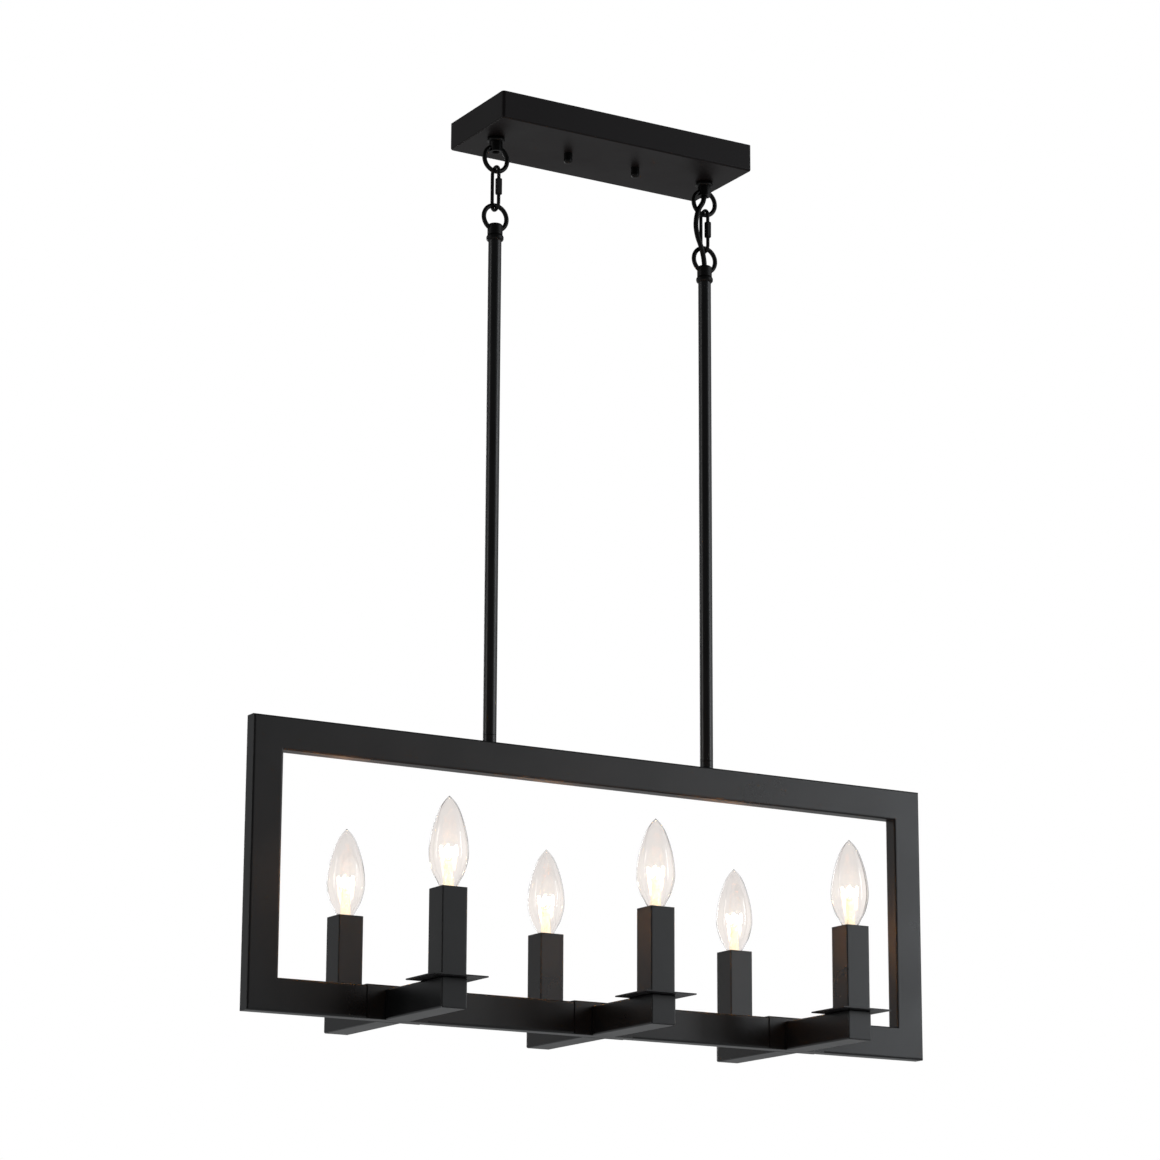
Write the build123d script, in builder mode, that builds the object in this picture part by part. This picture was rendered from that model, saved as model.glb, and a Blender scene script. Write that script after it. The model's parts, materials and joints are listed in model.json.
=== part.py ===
from build123d import *
from math import radians, tan
import os

os.makedirs("parts", exist_ok=True)

# Linear island pendant, in millimetres. The ceiling is z = 0, +X runs along the
# frame, and the origin is the middle of the ceiling bracket.

# Canopy pan
canopy_length = 280.0
canopy_width = 104.0
canopy_depth = 27.0
canopy_wall = 1.2
canopy_corner_radius = 3.0
canopy_edge_radius = 2.0

# Ceiling bracket and its studs
bracket_thickness = 1.5
bracket_arm_width = 18.0
bracket_length = 96.0
bracket_rim_clearance = 0.3
bracket_centre_hole_radius = 5.25
slot_spacing = 79.0
slot_width = 4.8
slot_length = 15.0
stud_spacing = 76.0
stud_radius = 2.0
thread_clearance = 0.06
stud_hole_clearance = 0.4
lock_nut_height = 3.2
lock_nut_flats = 7.0
cap_nut_radius = 4.15
cap_nut_height = 10.0
cap_nut_dome = 3.2
cap_nut_cap_thickness = 1.7
stud_end_gap = 0.4
seat_gap = 0.1

# Suspension
loop_end_inset = 22.0
suspension_spacing = canopy_length - 2 * loop_end_inset
ring_radius = 14.5
ring_wire = 4.4
loop_flange_radius = 8.5
loop_flange_height = 4.2
loop_flange_edge_share = 0.4
loop_neck_radius = 6.4
loop_neck_length = 10.0
loop_ring_drop = 21.2
wire_way_radius = 3.1
wire_way_length = 3.7
wire_way_mouth = 1.0
nipple_radius = 5.0
nipple_bore_radius = 3.5
nipple_clearance = 0.05
nipple_hole_clearance = 0.3
nipple_end_gap = 0.2
nipple_stand_out = 1.0
washer_thickness = 1.0
washer_radius = 8.0
hex_nut_height = 3.5
hex_nut_flats = 14.0

# Quick link
link_wire = 3.4
link_width = 12.5
link_length = 43.1
link_clearance = 0.3
link_gap_top = -1.2
link_gap_bottom = -5.5
sleeve_nut_length = 16.0
sleeve_nut_flats = 6.4
sleeve_nut_chamfer = 1.0
sleeve_nut_clearance = 0.05

# Rod loop, collar, rod and coupling
hub_radius = 7.25
hub_height = 11.1
hub_dome = 2.5
hub_ring_depth = 6.4
collar_radius = 8.25
collar_height = 6.0
collar_edge_share = 0.4
rod_radius = 6.25
rod_wall = 1.2
rod_length = 478.0
top_nipple_in_rod = 10.0
bottom_nipple_in_rod = 9.0
bottom_nipple_in_rail = 3.0
coupling_height = 7.0
coupling_chamfer = 0.5

# Frame
frame_width = 720.0
frame_height = 262.0
tube_face = 30.0
tube_depth = 15.0
tube_wall = 1.2
tube_edge_radius = 1.8
tube_inner_radius = 0.6

# Saddles over the bottom rail
saddle_length = 61.0
saddle_thickness = 1.0
saddle_outer_radius = 2.0

# Cross arms and what stands on them
arm_spacing = 212.5
arm_reach = 112.0
arm_width = 25.0
arm_height = 27.0
arm_wall = 1.2
arm_edge_radius = 1.5
arm_cap_thickness = 1.2
arm_cap_edge = 0.5
candle_offset = 98.5
plate_size = 53.0
plate_thickness = 1.2
sleeve_size = 25.0
sleeve_wall = 1.2
sleeve_height = 78.0
sleeve_edge_radius = 0.8
socket_radius = 10.0
socket_length = 42.0
socket_set_down = 3.4
socket_bore_depth = 17.5
socket_bore_clearance = 0.09
stem_radius = 4.85
stem_bore_radius = 3.0
stem_in_socket = 8.0
stem_below_nut = 1.5
stem_nut_height = 3.0
stem_nut_flats = 14.0

# Bulb
bulb_base_radius = 5.95
bulb_base_length = 15.3
bulb_tip_radius = 2.4
bulb_tip_height = 1.6
bulb_base_top_drop = 3.0
bulb_radius = 17.6
bulb_height = 81.7
bulb_wall = 0.9
# The glass outline, as shares of the bulb's radius and of its height above the sleeve
bulb_outline_shares = [
    (0.40, 0.0),
    (0.58, 0.077),
    (0.83, 0.185),
    (1.0, 0.37),
    (0.87, 0.612),
    (0.56, 0.827),
    (0.28, 0.935),
]
glass_foot_direction = (0.3, 1)
glass_tip_direction = (-1, 0)

# Supply cord. Each point is (x, y) from the right suspension's axis and the depth
# below the canopy; the cord is limp, so no arc is tighter than three diameters.
cord_diameter = 5.0
cord_points = [
    (0.0, 0.0, 7.8),
    (0.0, 0.0, 14.8),
    (-2.5, -1.5, 21.8),
    (-9.3, -5.7, 29.2),
    (-13.4, -6.9, 38.8),
    (-14.5, -6.9, 49.8),
    (-12.2, -6.6, 60.4),
    (-7.8, -6.1, 69.2),
    (-2.9, -2.4, 76.6),
    (0.0, 0.0, 84.8),
    (0.0, 0.0, 92.2),
]
ceiling_cord_points = [
    (0.0, 0.0, 7.8),
    (0.0, 0.0, -11.5),
    (-12.0, 1.0, -23.3),
    (-28.0, 4.5, -22.2),
    (-41.0, 14.0, -17.0),
]
cord_end_below_rod = 14.0
cord_arc_share = 0.45

# Heights and places that follow from the sizes above
canopy_bottom = -canopy_depth
canopy_floor = canopy_bottom + canopy_wall
suspension_x = suspension_spacing / 2
stud_x = stud_spacing / 2
ring_middle_radius = ring_radius - ring_wire / 2
loop_ring_z = canopy_bottom - loop_ring_drop
neck_end_z = canopy_bottom - loop_flange_height - loop_neck_length
upper_pivot_z = loop_ring_z - ring_middle_radius
wire_step = (ring_wire + link_wire) / 2 + link_clearance
link_top_z = upper_pivot_z + wire_step
link_bottom_z = link_top_z - link_length
link_middle_z = (link_top_z + link_bottom_z) / 2
lower_pivot_z = link_bottom_z + wire_step
rod_ring_z = lower_pivot_z - ring_middle_radius
hub_top_z = rod_ring_z - hub_ring_depth
hub_bottom_z = hub_top_z - hub_height
rod_top_z = hub_bottom_z - collar_height
rod_bottom_z = rod_top_z - rod_length
frame_top_z = rod_bottom_z - coupling_height
frame_bottom_z = frame_top_z - frame_height
arm_top_z = frame_bottom_z + arm_height
sleeve_bottom_z = arm_top_z + plate_thickness
sleeve_top_z = sleeve_bottom_z + sleeve_height
socket_top_z = sleeve_top_z - socket_set_down
socket_bottom_z = socket_top_z - socket_length
bulb_base_top_z = sleeve_top_z - bulb_base_top_drop
bulb_base_bottom_z = bulb_base_top_z - bulb_base_length
arm_root = tube_depth / 2 + saddle_thickness
arm_tube_end = arm_reach - arm_cap_thickness
sides = (("left", -1), ("right", 1))
arm_places = (("left", -arm_spacing), ("middle", 0.0), ("right", arm_spacing))
hex_corner_share = 0.5773503  # corner radius of a hexagon over its width across flats


def save(part, label):
    """Label a finished sub-part and write its STEP file."""
    part.label = label
    export_step(part, f"parts/{label}.step")


def tube_section(face, depth, wall, outer_radius, inner_radius):
    """Draw a rectangular tube's wall in the sketch that is open."""
    RectangleRounded(face, depth, outer_radius)
    RectangleRounded(face - 2 * wall, depth - 2 * wall, inner_radius, mode=Mode.SUBTRACT)


def nut_section(flats, bore_radius):
    """Draw a hexagon nut with its hole in the sketch that is open."""
    RegularPolygon(flats * hex_corner_share, 6)
    Circle(bore_radius, mode=Mode.SUBTRACT)


def cord_tube(route, label):
    """Return a cord along straight runs joined by tangent arcs, printing its radii."""
    runs = [(b - a).length for a, b in zip(route, route[1:])]
    radii = []
    for i in range(1, len(route) - 1):
        turn = (route[i] - route[i - 1]).get_angle(route[i + 1] - route[i])
        radii.append(cord_arc_share * min(runs[i - 1], runs[i]) / tan(radians(turn / 2)))
    with BuildPart() as cord:
        with BuildLine() as path:
            FilletPolyline(*route, radius=radii)
        with BuildSketch(Plane(origin=path.line @ 0, z_dir=path.line % 0)):
            Circle(cord_diameter / 2)
        sweep()
    length = sum(edge.length for edge in path.line.edges())
    section = Circle(cord_diameter / 2, mode=Mode.PRIVATE).area
    print(label, "radii", [round(r, 1) for r in radii], "length", round(length, 1))
    print(label, "volume over section times length", round(cord.part.volume / section / length, 4))
    return cord.part


def glass_outline(inset):
    """Draw the bulb's glass outline, moved in by inset, and return its curve."""
    foot = (bulb_base_radius - inset, bulb_base_top_z)
    points = [
        (bulb_radius * r - inset, sleeve_top_z + bulb_height * h) for r, h in bulb_outline_shares
    ]
    tip = (0, sleeve_top_z + bulb_height - inset)
    return Spline(foot, *points, tip, tangents=(glass_foot_direction, glass_tip_direction))


def cord_route(points):
    """Return the points of a cord that runs near the right suspension's axis."""
    return [Vector(suspension_x + x, y, canopy_bottom - depth) for x, y, depth in points]


# ---------------------------------------------------------------- canopy group

with BuildPart() as canopy:
    with BuildSketch(Plane.XY.offset(canopy_bottom)):
        RectangleRounded(canopy_length, canopy_width, canopy_corner_radius)
    extrude(amount=canopy_depth)
    fillet(canopy.faces().sort_by(Axis.Z)[0].edges(), radius=canopy_edge_radius)
    offset(amount=-canopy_wall, openings=canopy.faces().sort_by(Axis.Z)[-1])
    with Locations(Plane.XY.offset(canopy_floor)):
        with GridLocations(suspension_spacing, 0, 2, 1):
            Hole(nipple_radius + nipple_hole_clearance)
        with GridLocations(stud_spacing, 0, 2, 1):
            Hole(stud_radius + stud_hole_clearance)
save(canopy.part, "canopy")

bracket_cross_length = canopy_width - 2 * (canopy_wall + bracket_rim_clearance)
with BuildPart() as mounting_bracket:
    with BuildSketch(Plane.XY.offset(-bracket_thickness)):
        Rectangle(bracket_length, bracket_arm_width)
        Rectangle(bracket_arm_width, bracket_cross_length)
        with GridLocations(0, slot_spacing, 1, 2):
            SlotOverall(slot_length, slot_width, rotation=90, mode=Mode.SUBTRACT)
        with GridLocations(stud_spacing, 0, 2, 1):
            Circle(stud_radius + thread_clearance, mode=Mode.SUBTRACT)
        Circle(bracket_centre_hole_radius, mode=Mode.SUBTRACT)
    extrude(amount=bracket_thickness)
save(mounting_bracket.part, "mounting_bracket")

cap_nut_top_z = canopy_bottom - seat_gap
cap_nut_bottom_z = cap_nut_top_z - cap_nut_height
stud_end_z = cap_nut_bottom_z + cap_nut_cap_thickness + stud_end_gap
with BuildPart() as mounting_studs:
    with BuildSketch(Plane.XY.offset(stud_end_z)):
        with GridLocations(stud_spacing, 0, 2, 1):
            Circle(stud_radius)
    extrude(amount=-stud_end_z)
save(mounting_studs.part, "mounting_studs")

with BuildPart() as stud_lock_nuts:
    with BuildSketch(Plane.XY.offset(-bracket_thickness - lock_nut_height)):
        with GridLocations(stud_spacing, 0, 2, 1):
            RegularPolygon(lock_nut_flats * hex_corner_share, 6)
            Circle(stud_radius + thread_clearance, mode=Mode.SUBTRACT)
    extrude(amount=lock_nut_height)
save(stud_lock_nuts.part, "stud_lock_nuts")

for side, sign in sides:
    with BuildPart() as cap_nut:
        with BuildSketch(Plane.XY.offset(cap_nut_bottom_z)):
            with Locations((sign * stud_x, 0)):
                Circle(cap_nut_radius)
        extrude(amount=cap_nut_height)
        fillet(cap_nut.faces().sort_by(Axis.Z)[0].edges(), radius=cap_nut_dome)
        with BuildSketch(Plane.XY.offset(cap_nut_bottom_z + cap_nut_cap_thickness)):
            with Locations((sign * stud_x, 0)):
                Circle(stud_radius + thread_clearance)
        extrude(amount=cap_nut_height - cap_nut_cap_thickness, mode=Mode.SUBTRACT)
    save(cap_nut.part, f"cap_nut_{side}")

# ---------------------------------------------------------------- canopy loops

thread_depth = loop_flange_height + loop_neck_length - wire_way_length
for side, sign in sides:
    x = sign * suspension_x
    with BuildPart() as canopy_loop:
        with Locations((x, 0, neck_end_z)):
            Cylinder(
                loop_neck_radius,
                loop_neck_length + loop_flange_height,
                align=(Align.CENTER, Align.CENTER, Align.MIN),
            )
        with Locations((x, 0, canopy_bottom - loop_flange_height)):
            Cylinder(
                loop_flange_radius,
                loop_flange_height,
                align=(Align.CENTER, Align.CENTER, Align.MIN),
            )
        rim = canopy_loop.edges().filter_by(GeomType.CIRCLE)
        flange_rim = rim.filter_by(lambda e: e.radius == loop_flange_radius)
        fillet(flange_rim, radius=loop_flange_height * loop_flange_edge_share)
        with Locations(Location((x, 0, loop_ring_z), (90, 0, 0))):
            Torus(ring_middle_radius, ring_wire / 2)
        with Locations((x, 0, canopy_bottom - thread_depth)):
            Cylinder(
                nipple_radius + nipple_clearance,
                thread_depth,
                align=(Align.CENTER, Align.CENTER, Align.MIN),
                mode=Mode.SUBTRACT,
            )
        with Locations((x, 0, neck_end_z)):
            Cylinder(
                wire_way_radius,
                wire_way_length,
                align=(Align.CENTER, Align.CENTER, Align.MIN),
                mode=Mode.SUBTRACT,
            )
            Cone(
                wire_way_radius + wire_way_mouth,
                wire_way_radius,
                wire_way_mouth,
                align=(Align.CENTER, Align.CENTER, Align.MIN),
                mode=Mode.SUBTRACT,
            )
    save(canopy_loop.part, f"canopy_loop_{side}")

washer_top_z = canopy_floor + washer_thickness
loop_nut_top_z = washer_top_z + hex_nut_height
loop_nipple_top_z = loop_nut_top_z + nipple_stand_out
loop_nipple_bottom_z = canopy_bottom - thread_depth + nipple_end_gap
with BuildPart() as loop_nipples:
    with BuildSketch(Plane.XY.offset(loop_nipple_bottom_z)):
        with GridLocations(suspension_spacing, 0, 2, 1):
            Circle(nipple_radius)
            Circle(nipple_bore_radius, mode=Mode.SUBTRACT)
    extrude(amount=loop_nipple_top_z - loop_nipple_bottom_z)
save(loop_nipples.part, "loop_nipples")

with BuildPart() as loop_lock_washers:
    with BuildSketch(Plane.XY.offset(canopy_floor)):
        with GridLocations(suspension_spacing, 0, 2, 1):
            Circle(washer_radius)
            Circle(nipple_radius + nipple_clearance, mode=Mode.SUBTRACT)
    extrude(amount=washer_thickness)
save(loop_lock_washers.part, "loop_lock_washers")

with BuildPart() as loop_hex_nuts:
    with BuildSketch(Plane.XY.offset(washer_top_z)):
        with GridLocations(suspension_spacing, 0, 2, 1):
            nut_section(hex_nut_flats, nipple_radius + nipple_clearance)
    extrude(amount=hex_nut_height)
save(loop_hex_nuts.part, "loop_hex_nuts")

# ----------------------------------------------------------------- quick links

leg_y = link_width / 2
bend_top_z = link_top_z - leg_y
bend_bottom_z = link_bottom_z + leg_y
gap_top_z = link_middle_z + link_gap_top
gap_bottom_z = link_middle_z + link_gap_bottom
sleeve_nut_bottom_z = link_middle_z - sleeve_nut_length / 2
for side, sign in sides:
    x = sign * suspension_x
    with BuildPart() as quick_link:
        with BuildLine() as bar:
            Line((x, -leg_y, gap_top_z), (x, -leg_y, bend_top_z))
            ThreePointArc((x, -leg_y, bend_top_z), (x, 0, link_top_z), (x, leg_y, bend_top_z))
            Line((x, leg_y, bend_top_z), (x, leg_y, bend_bottom_z))
            ThreePointArc(
                (x, leg_y, bend_bottom_z), (x, 0, link_bottom_z), (x, -leg_y, bend_bottom_z)
            )
            Line((x, -leg_y, bend_bottom_z), (x, -leg_y, gap_bottom_z))
        with BuildSketch(Plane(origin=bar.line @ 0, z_dir=bar.line % 0)):
            Circle(link_wire / 2)
        sweep()
    save(quick_link.part, f"quick_link_{side}")

    with BuildPart() as link_sleeve:
        with BuildSketch(Plane.XY.offset(sleeve_nut_bottom_z)):
            with Locations((x, -leg_y)):
                RegularPolygon(sleeve_nut_flats * hex_corner_share, 6)
        extrude(amount=sleeve_nut_length)
        ends = link_sleeve.faces().filter_by(Axis.Z).edges()
        chamfer(ends, length=sleeve_nut_chamfer)
        with BuildSketch(Plane.XY.offset(sleeve_nut_bottom_z)):
            with Locations((x, -leg_y)):
                Circle(link_wire / 2 + sleeve_nut_clearance)
        extrude(amount=sleeve_nut_length, mode=Mode.SUBTRACT)
    save(link_sleeve.part, f"link_sleeve_{side}")

# ------------------------------------------------------- rod loops, rods, cord

hub_thread_depth = hub_height - wire_way_length - wire_way_mouth
hub_thread_top_z = hub_bottom_z + hub_thread_depth
for side, sign in sides:
    x = sign * suspension_x
    with BuildPart() as rod_loop:
        with Locations((x, 0, hub_bottom_z)):
            Cylinder(hub_radius, hub_height, align=(Align.CENTER, Align.CENTER, Align.MIN))
        fillet(rod_loop.faces().sort_by(Axis.Z)[-1].edges(), radius=hub_dome)
        with Locations(Location((x, 0, rod_ring_z), (90, 0, 0))):
            Torus(ring_middle_radius, ring_wire / 2)
        with Locations((x, 0, hub_bottom_z)):
            Cylinder(
                nipple_radius + nipple_clearance,
                hub_thread_depth,
                align=(Align.CENTER, Align.CENTER, Align.MIN),
                mode=Mode.SUBTRACT,
            )
        with Locations((x, 0, hub_top_z)):
            Cylinder(
                wire_way_radius,
                hub_height,
                align=(Align.CENTER, Align.CENTER, Align.MAX),
                mode=Mode.SUBTRACT,
            )
            Cone(
                wire_way_radius,
                wire_way_radius + wire_way_mouth,
                wire_way_mouth,
                align=(Align.CENTER, Align.CENTER, Align.MAX),
                mode=Mode.SUBTRACT,
            )
    save(rod_loop.part, f"rod_loop_{side}")

    with BuildPart() as rod:
        with BuildSketch(Plane.XY.offset(rod_bottom_z)):
            with Locations((x, 0)):
                Circle(rod_radius)
                Circle(rod_radius - rod_wall, mode=Mode.SUBTRACT)
        extrude(amount=rod_length)
    save(rod.part, f"rod_{side}")

with BuildPart() as rod_collars:
    with BuildSketch(Plane.XY.offset(rod_top_z)):
        with GridLocations(suspension_spacing, 0, 2, 1):
            Circle(collar_radius)
    extrude(amount=collar_height)
    collar_rims = rod_collars.edges().filter_by(GeomType.CIRCLE)
    fillet(collar_rims, radius=collar_height * collar_edge_share)
    with Locations(Plane.XY.offset(hub_bottom_z)):
        with GridLocations(suspension_spacing, 0, 2, 1):
            Hole(nipple_radius + nipple_clearance)
save(rod_collars.part, "rod_collars")

rod_inner_radius = rod_radius - rod_wall
top_nipple_top_z = hub_thread_top_z - nipple_end_gap
top_nipple_bottom_z = rod_top_z - top_nipple_in_rod
with BuildPart() as rod_top_nipples:
    with BuildSketch(Plane.XY.offset(top_nipple_bottom_z)):
        with GridLocations(suspension_spacing, 0, 2, 1):
            Circle(rod_inner_radius - nipple_clearance)
            Circle(nipple_bore_radius, mode=Mode.SUBTRACT)
    extrude(amount=top_nipple_top_z - top_nipple_bottom_z)
save(rod_top_nipples.part, "rod_top_nipples")

bottom_nipple_top_z = rod_bottom_z + bottom_nipple_in_rod
bottom_nipple_bottom_z = frame_top_z - tube_wall - bottom_nipple_in_rail
with BuildPart() as rod_bottom_nipples:
    with BuildSketch(Plane.XY.offset(bottom_nipple_bottom_z)):
        with GridLocations(suspension_spacing, 0, 2, 1):
            Circle(rod_inner_radius - nipple_clearance)
            Circle(nipple_bore_radius, mode=Mode.SUBTRACT)
    extrude(amount=bottom_nipple_top_z - bottom_nipple_bottom_z)
save(rod_bottom_nipples.part, "rod_bottom_nipples")

with BuildPart() as rod_couplings:
    with BuildSketch(Plane.XY.offset(frame_top_z)):
        with GridLocations(suspension_spacing, 0, 2, 1):
            Circle(rod_radius)
            Circle(rod_inner_radius, mode=Mode.SUBTRACT)
    extrude(amount=coupling_height)
    chamfer(
        rod_couplings.faces().sort_by(Axis.Z)[-2:].edges().filter_by(lambda e: e.radius == rod_radius),
        length=coupling_chamfer,
    )
save(rod_couplings.part, "rod_couplings")

supply_cord_ceiling = cord_tube(cord_route(ceiling_cord_points), "supply_cord_ceiling")
save(supply_cord_ceiling, "supply_cord_ceiling")

supply_cord_loop = cord_tube(cord_route(cord_points), "supply_cord_loop")
save(supply_cord_loop, "supply_cord_loop")

rod_cord_top_z = canopy_bottom - cord_points[-1][2]
rod_cord_bottom_z = rod_bottom_z - cord_end_below_rod
with BuildPart() as supply_cord_rod:
    with BuildSketch(Plane.XY.offset(rod_cord_bottom_z)):
        with Locations((suspension_x, 0)):
            Circle(cord_diameter / 2)
    extrude(amount=rod_cord_top_z - rod_cord_bottom_z)
save(supply_cord_rod.part, "supply_cord_rod")

# ----------------------------------------------------------------------- frame

left_x = -frame_width / 2
right_x = frame_width / 2
top_left = Plane(origin=(left_x, 0, frame_top_z), z_dir=(1, 0, 1))
top_right = Plane(origin=(right_x, 0, frame_top_z), z_dir=(-1, 0, 1))
bottom_left = Plane(origin=(left_x, 0, frame_bottom_z), z_dir=(1, 0, -1))
bottom_right = Plane(origin=(right_x, 0, frame_bottom_z), z_dir=(-1, 0, -1))

with BuildPart() as frame_top_rail:
    with BuildSketch(Plane.YZ.offset(left_x)):
        with Locations((0, frame_top_z - tube_face / 2)):
            tube_section(tube_depth, tube_face, tube_wall, tube_edge_radius, tube_inner_radius)
    extrude(amount=frame_width)
    split(bisect_by=top_left, keep=Keep.TOP)
    split(bisect_by=top_right, keep=Keep.TOP)
    with Locations((0, 0, frame_top_z)):
        with GridLocations(suspension_spacing, 0, 2, 1):
            Hole(rod_inner_radius, depth=tube_wall)
save(frame_top_rail.part, "frame_top_rail")

with BuildPart() as frame_bottom_rail:
    with BuildSketch(Plane.YZ.offset(left_x)):
        with Locations((0, frame_bottom_z + tube_face / 2)):
            tube_section(tube_depth, tube_face, tube_wall, tube_edge_radius, tube_inner_radius)
    extrude(amount=frame_width)
    split(bisect_by=bottom_left, keep=Keep.TOP)
    split(bisect_by=bottom_right, keep=Keep.TOP)
save(frame_bottom_rail.part, "frame_bottom_rail")

for side, sign in sides:
    corners = (top_left, bottom_left) if side == "left" else (top_right, bottom_right)
    with BuildPart() as frame_stile:
        with BuildSketch(Plane.XY.offset(frame_bottom_z)):
            with Locations((sign * (frame_width - tube_face) / 2, 0)):
                tube_section(tube_face, tube_depth, tube_wall, tube_edge_radius, tube_inner_radius)
        extrude(amount=frame_height)
        split(bisect_by=corners[0], keep=Keep.BOTTOM)
        split(bisect_by=corners[1], keep=Keep.BOTTOM)
    save(frame_stile.part, f"frame_stile_{side}")

# ------------------------------------------------------------ saddles and arms

saddle_height = tube_face + saddle_thickness
saddle_width = tube_depth + 2 * saddle_thickness
for name, x in arm_places:
    with BuildPart() as saddle:
        with BuildSketch(Plane.YZ.offset(x - saddle_length / 2)):
            with Locations((0, frame_bottom_z + saddle_height / 2)):
                Rectangle(saddle_width, saddle_height)
            with Locations((0, frame_bottom_z + tube_face / 2)):
                Rectangle(tube_depth, tube_face, mode=Mode.SUBTRACT)
        extrude(amount=saddle_length)
        top_edges = saddle.faces().sort_by(Axis.Z)[-1].edges().filter_by(Axis.X)
        fillet(top_edges, radius=saddle_outer_radius)
    save(saddle.part, f"saddle_{name}")

    with BuildPart() as arm:
        for side in (-1, 1):
            with BuildSketch(Plane.XZ.offset(-side * arm_root)):
                with Locations((x, frame_bottom_z + arm_height / 2)):
                    tube_section(arm_width, arm_height, arm_wall, arm_edge_radius, tube_inner_radius)
            extrude(amount=-side * (arm_tube_end - arm_root))
        with Locations((x, 0, arm_top_z)):
            with GridLocations(0, 2 * candle_offset, 1, 2):
                Hole(stem_radius + nipple_hole_clearance, depth=arm_wall)
    save(arm.part, f"arm_{name}")

with BuildPart() as arm_end_caps:
    for side in (-1, 1):
        with BuildSketch(Plane.XZ.offset(-side * arm_tube_end)):
            with Locations((0, frame_bottom_z + arm_height / 2)):
                with GridLocations(arm_spacing, 0, 3, 1):
                    RectangleRounded(arm_width, arm_height, arm_edge_radius)
        extrude(amount=-side * arm_cap_thickness)
    flat_faces = arm_end_caps.faces().filter_by(Axis.Y)
    outer_faces = flat_faces.filter_by(lambda f: abs(f.center().Y) > arm_tube_end + arm_cap_edge)
    fillet(outer_faces.edges(), radius=arm_cap_edge)
save(arm_end_caps.part, "arm_end_caps")

with BuildPart() as drip_plates:
    with BuildSketch(Plane.XY.offset(arm_top_z)):
        with GridLocations(arm_spacing, 2 * candle_offset, 3, 2):
            Rectangle(plate_size, plate_size)
            Circle(stem_radius + nipple_hole_clearance, mode=Mode.SUBTRACT)
    extrude(amount=plate_thickness)
save(drip_plates.part, "drip_plates")

# --------------------------------------------------------------------- candles

bulb_base_bore = bulb_base_radius + socket_bore_clearance
stem_top_z = socket_bottom_z + stem_in_socket
lower_nut_top_z = arm_top_z - arm_wall
stem_bottom_z = lower_nut_top_z - stem_nut_height - stem_below_nut
with BuildPart() as sockets:
    with BuildSketch(Plane.XY.offset(socket_bottom_z)):
        with GridLocations(arm_spacing, 2 * candle_offset, 3, 2):
            Circle(socket_radius)
    extrude(amount=socket_length)
    with BuildSketch(Plane.XY.offset(socket_top_z)):
        with GridLocations(arm_spacing, 2 * candle_offset, 3, 2):
            Circle(bulb_base_bore)
    extrude(amount=-socket_bore_depth, mode=Mode.SUBTRACT)
    with BuildSketch(Plane.XY.offset(socket_bottom_z)):
        with GridLocations(arm_spacing, 2 * candle_offset, 3, 2):
            Circle(stem_radius + nipple_clearance)
    extrude(amount=stem_in_socket, mode=Mode.SUBTRACT)
save(sockets.part, "sockets")

with BuildPart() as socket_stems:
    with BuildSketch(Plane.XY.offset(stem_bottom_z)):
        with GridLocations(arm_spacing, 2 * candle_offset, 3, 2):
            Circle(stem_radius)
            Circle(stem_bore_radius, mode=Mode.SUBTRACT)
    extrude(amount=stem_top_z - stem_bottom_z)
save(socket_stems.part, "socket_stems")

with BuildPart() as socket_nuts:
    for nut_bottom_z in (sleeve_bottom_z, lower_nut_top_z - stem_nut_height):
        with BuildSketch(Plane.XY.offset(nut_bottom_z)):
            with GridLocations(arm_spacing, 2 * candle_offset, 3, 2):
                nut_section(stem_nut_flats, stem_radius + nipple_clearance)
        extrude(amount=stem_nut_height)
save(socket_nuts.part, "socket_nuts")

for name, x in arm_places:
    for end, y in (("front", -candle_offset), ("rear", candle_offset)):
        with BuildPart() as candle_sleeve:
            with BuildSketch(Plane.XY.offset(sleeve_bottom_z)):
                with Locations((x, y)):
                    tube_section(
                        sleeve_size, sleeve_size, sleeve_wall, sleeve_edge_radius, tube_inner_radius
                    )
            extrude(amount=sleeve_height)
        save(candle_sleeve.part, f"candle_sleeve_{end}_{name}")

        with BuildPart() as bulb_base:
            with Locations((x, y, bulb_base_bottom_z)):
                Cone(
                    bulb_tip_radius,
                    bulb_base_radius,
                    bulb_tip_height,
                    align=(Align.CENTER, Align.CENTER, Align.MIN),
                )
            with Locations((x, y, bulb_base_bottom_z + bulb_tip_height)):
                Cylinder(
                    bulb_base_radius,
                    bulb_base_length - bulb_tip_height,
                    align=(Align.CENTER, Align.CENTER, Align.MIN),
                )
        save(bulb_base.part, f"bulb_base_{end}_{name}")

        with BuildPart() as bulb_glass:
            with BuildSketch(Plane(origin=(x, y, 0), x_dir=(1, 0, 0), z_dir=(0, -1, 0))):
                with BuildLine():
                    outer_top = glass_outline(0.0)
                    inner_top = glass_outline(bulb_wall)
                    Line(inner_top @ 0, outer_top @ 0)
                    Line(inner_top @ 1, outer_top @ 1)
                make_face()
            revolve(axis=Axis((x, y, 0), (0, 0, 1)))
        save(bulb_glass.part, f"bulb_glass_{end}_{name}")

print("overall drop", round(-frame_bottom_z, 2))
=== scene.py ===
"""The looks of a linear island pendant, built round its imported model."""

import json
import logging
import math
from dataclasses import dataclass, field
from enum import Enum

import bpy
from mathutils import Matrix, Vector


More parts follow.
